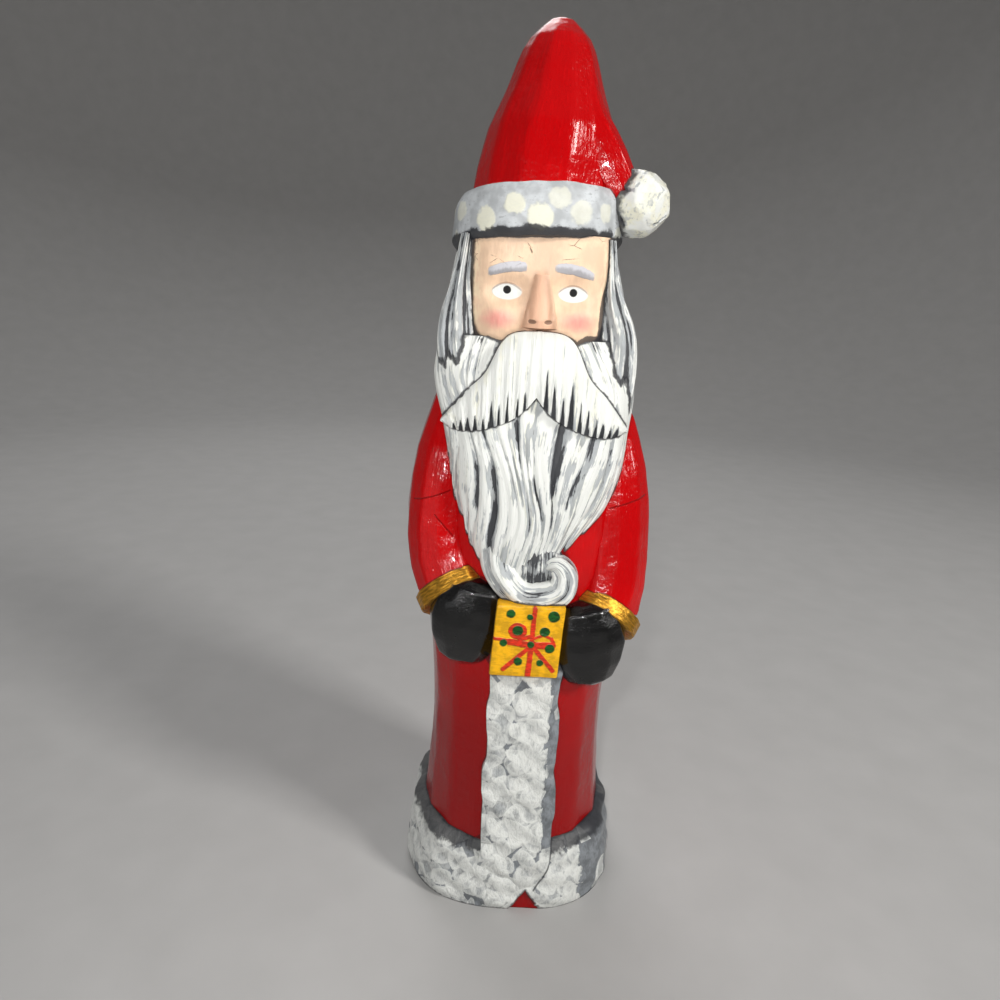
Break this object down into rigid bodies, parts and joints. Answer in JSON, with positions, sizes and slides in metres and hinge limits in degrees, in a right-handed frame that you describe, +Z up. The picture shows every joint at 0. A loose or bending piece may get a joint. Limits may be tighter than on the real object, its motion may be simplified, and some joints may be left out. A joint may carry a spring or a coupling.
{
  "type": "carved santa figure",
  "caption": "Tall painted wooden Santa, carved in one piece in folk style, with a long beard and a wrapped present; it stands on its flat base.",
  "frame": {"origin": "middle of the flat underside, on the floor plane", "axes": "+Z up along the figure, +X across to the pompom's side, -Y out of the figure's front"},
  "size_m": [0.0861, 0.0814, 0.305],
  "materials": {
    "painted_wood": "gloss"
  },
  "bodies": {
    "root": {"carved_santa": "painted_wood"}
  },
  "joints": []
}
